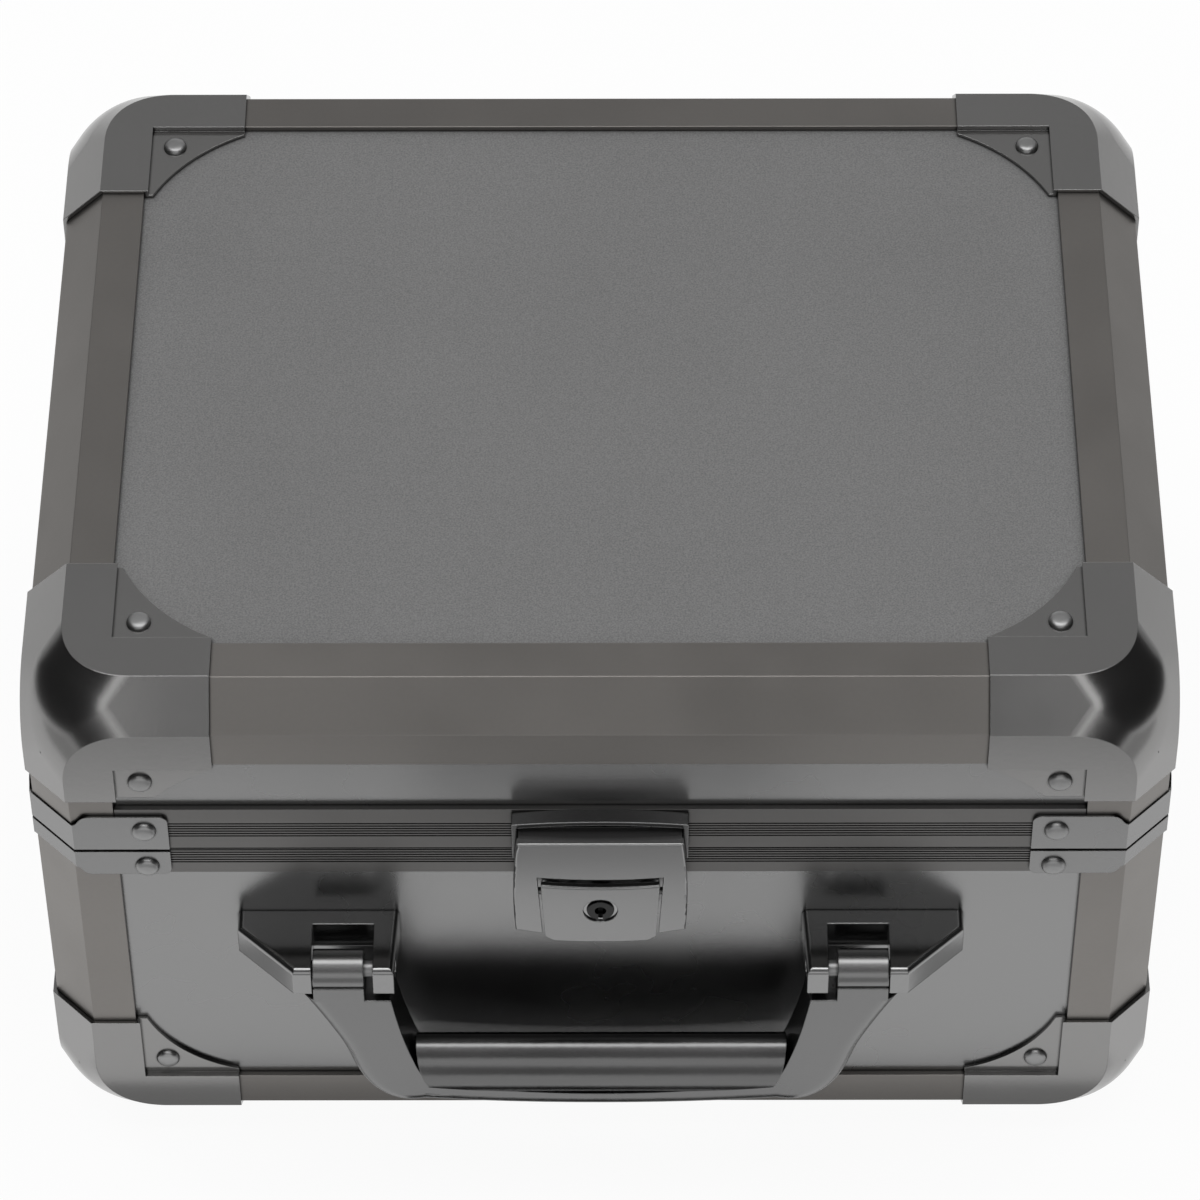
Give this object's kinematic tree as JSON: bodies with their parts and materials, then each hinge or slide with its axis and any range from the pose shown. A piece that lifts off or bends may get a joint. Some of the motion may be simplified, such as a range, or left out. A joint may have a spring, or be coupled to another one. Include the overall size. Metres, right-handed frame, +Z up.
{
  "type": "headphone travel case",
  "caption": "Hard travel case with metal edge rails, stamped corner caps, hinged lid, key latch and folding front handle; foam inside holds headphones.",
  "frame": {"origin": "middle of the footprint at the underside of the base caps, handle and hinges included", "axes": "+X along the front from left to right, +Y from the front with the latch to the hinges, +Z up"},
  "size_m": [0.2744, 0.2407, 0.163],
  "materials": {
    "top_panel": "fine speckled satin laminate",
    "wall_panel": "satin laminate with soft reflections",
    "rail": "satin anodised warm grey",
    "rim": "satin anodised, ribbed",
    "cap": "semi-gloss black chrome",
    "brace": "semi-gloss black chrome",
    "rivet": "bright dark nickel",
    "foam": "matt foam with a soft nap",
    "handle": "satin dark chrome",
    "grip": "satin brushed",
    "bracket": "gloss black chrome",
    "hinge": "semi-gloss black chrome",
    "latch": "satin dark chrome",
    "lock": "bright nickel"
  },
  "bodies": {
    "base": {"base_front_panel": "wall_panel", "base_back_panel": "wall_panel", "base_left_panel": "wall_panel", "base_right_panel": "wall_panel", "base_bottom_panel": "top_panel", "base_front_rail": "rail", "base_back_rail": "rail", "base_left_rail": "rail", "base_right_rail": "rail", "base_corner_posts": "rail", "base_front_rim": "rim", "base_back_rim": "rim", "base_left_rim": "rim", "base_right_rim": "rim", "base_cap_front_left": "cap", "base_cap_front_right": "cap", "base_cap_back_left": "cap", "base_cap_back_right": "cap", "base_rim_braces": "brace", "base_rivets": "rivet", "base_foam": "foam", "base_hinge_leaves": "hinge", "hinge_pins": "rivet", "latch_base": "latch", "latch_pin": "rivet", "handle_bracket_left": "bracket", "handle_bracket_right": "bracket", "handle_pins": "rivet", "handle_screws": "rivet"},
    "lid": {"lid_front_panel": "wall_panel", "lid_back_panel": "wall_panel", "lid_left_panel": "wall_panel", "lid_right_panel": "wall_panel", "lid_top_panel": "top_panel", "lid_front_rail": "rail", "lid_back_rail": "rail", "lid_left_rail": "rail", "lid_right_rail": "rail", "lid_corner_posts": "rail", "lid_front_rim": "rim", "lid_back_rim": "rim", "lid_left_rim": "rim", "lid_right_rim": "rim", "lid_cap_front_left": "cap", "lid_cap_front_right": "cap", "lid_cap_back_left": "cap", "lid_cap_back_right": "cap", "lid_rim_braces": "brace", "lid_rivets": "rivet", "lid_pad": "foam", "lid_hinge_leaves": "hinge", "latch_keeper": "latch"},
    "handle": {"handle_frame": "handle", "handle_grip": "grip"},
    "latch_lever": {"latch_lever": "latch", "lock_sleeve": "lock", "hasp_pins": "rivet"},
    "latch_hasp": {"latch_hasp": "latch"},
    "lock": {"lock_plug": "lock", "lock_cam": "latch"}
  },
  "joints": [
    {"name": "lid_hinge", "type": "hinge", "parent": "base", "child": "lid", "pos_m": [0, 0.11645, 0.111], "axis": [-1, 0, 0], "range_deg": [0, 95]},
    {"name": "handle_swing", "type": "hinge", "parent": "base", "child": "handle", "pos_m": [0, -0.11465, 0.0808], "axis": [-1, 0, 0], "range_deg": [0, 95]},
    {"name": "latch_lever_swing", "type": "hinge", "parent": "base", "child": "latch_lever", "pos_m": [0, -0.10555, 0.106], "axis": [-1, 0, 0], "range_deg": [0, 90]},
    {"name": "latch_hasp_swing", "type": "hinge", "parent": "latch_lever", "child": "latch_hasp", "pos_m": [0, -0.10535, 0.099], "axis": [-1, 0, 0], "range_deg": [-110, 0]},
    {"name": "key_turn", "type": "hinge", "parent": "latch_lever", "child": "lock", "pos_m": [0, -0.10795, 0.0968], "axis": [0, 1, 0], "range_deg": [0, 90]}
  ],
  "couplings": [
    {"joint": "latch_hasp_swing", "follows": "latch_lever_swing", "ratio": -1.2}
  ]
}
